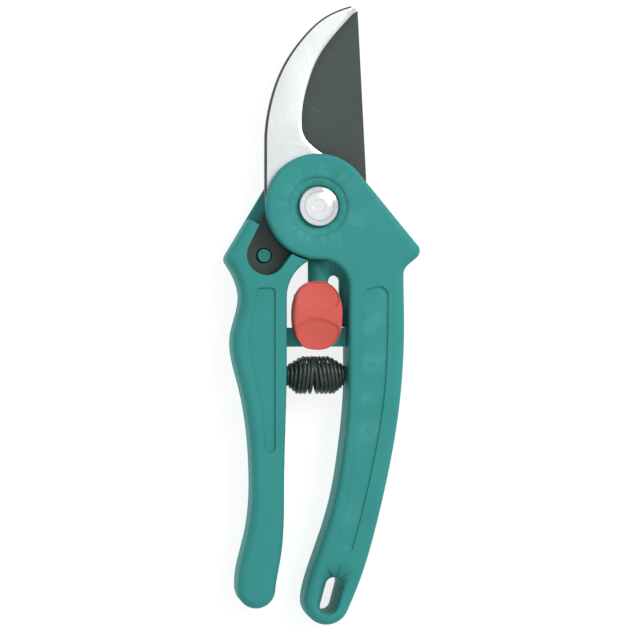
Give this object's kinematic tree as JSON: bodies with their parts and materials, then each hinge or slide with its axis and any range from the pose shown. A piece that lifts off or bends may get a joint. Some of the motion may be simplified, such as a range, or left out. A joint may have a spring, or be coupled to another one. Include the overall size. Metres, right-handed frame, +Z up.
{
  "type": "pruning shears",
  "caption": "Bypass pruning shears with moulded grips, a hooked counter blade, a coated cutting blade, a barrel spring and a sliding thumb lock.",
  "frame": {"origin": "on the pivot axis, at the flat back face that the closed shears rest on", "axes": "+Y towards the blade tips, +X towards the grip on the right, +Z up through the thickness towards the bolt head"},
  "size_m": [0.0636, 0.2014, 0.0166],
  "materials": {
    "handle_plastic": "fine satin grain, teal",
    "lock_plastic": "satin, coral red",
    "coated_steel": "dark grey non-stick coating",
    "bare_steel": "fine ground",
    "chrome": "polished",
    "washer_steel": "zinc plated",
    "spring_steel": "black oxide"
  },
  "bodies": {
    "fixed_side": {"right_handle": "handle_plastic", "hook_blade": "bare_steel", "pivot_bolt": "chrome", "spring_washer": "washer_steel", "sleeve_nut": "chrome", "nut_washer": "washer_steel", "return_spring": "spring_steel"},
    "moving_side": {"left_handle": "handle_plastic", "cutting_blade": "coated_steel"},
    "lock_slide": {"lock_button": "lock_plastic", "lock_button_back": "lock_plastic", "lock_screw": "washer_steel"}
  },
  "joints": [
    {"name": "handle_pivot", "type": "hinge", "parent": "fixed_side", "child": "moving_side", "pos_m": [0, 0, 0.0075], "axis": [0, 0, -1], "range_deg": [0, 30], "deforming": ["return_spring"]},
    {"name": "lock_travel", "type": "slide", "parent": "fixed_side", "child": "lock_slide", "axis": [0, 1, 0], "range_m": [0, 0.004]}
  ]
}
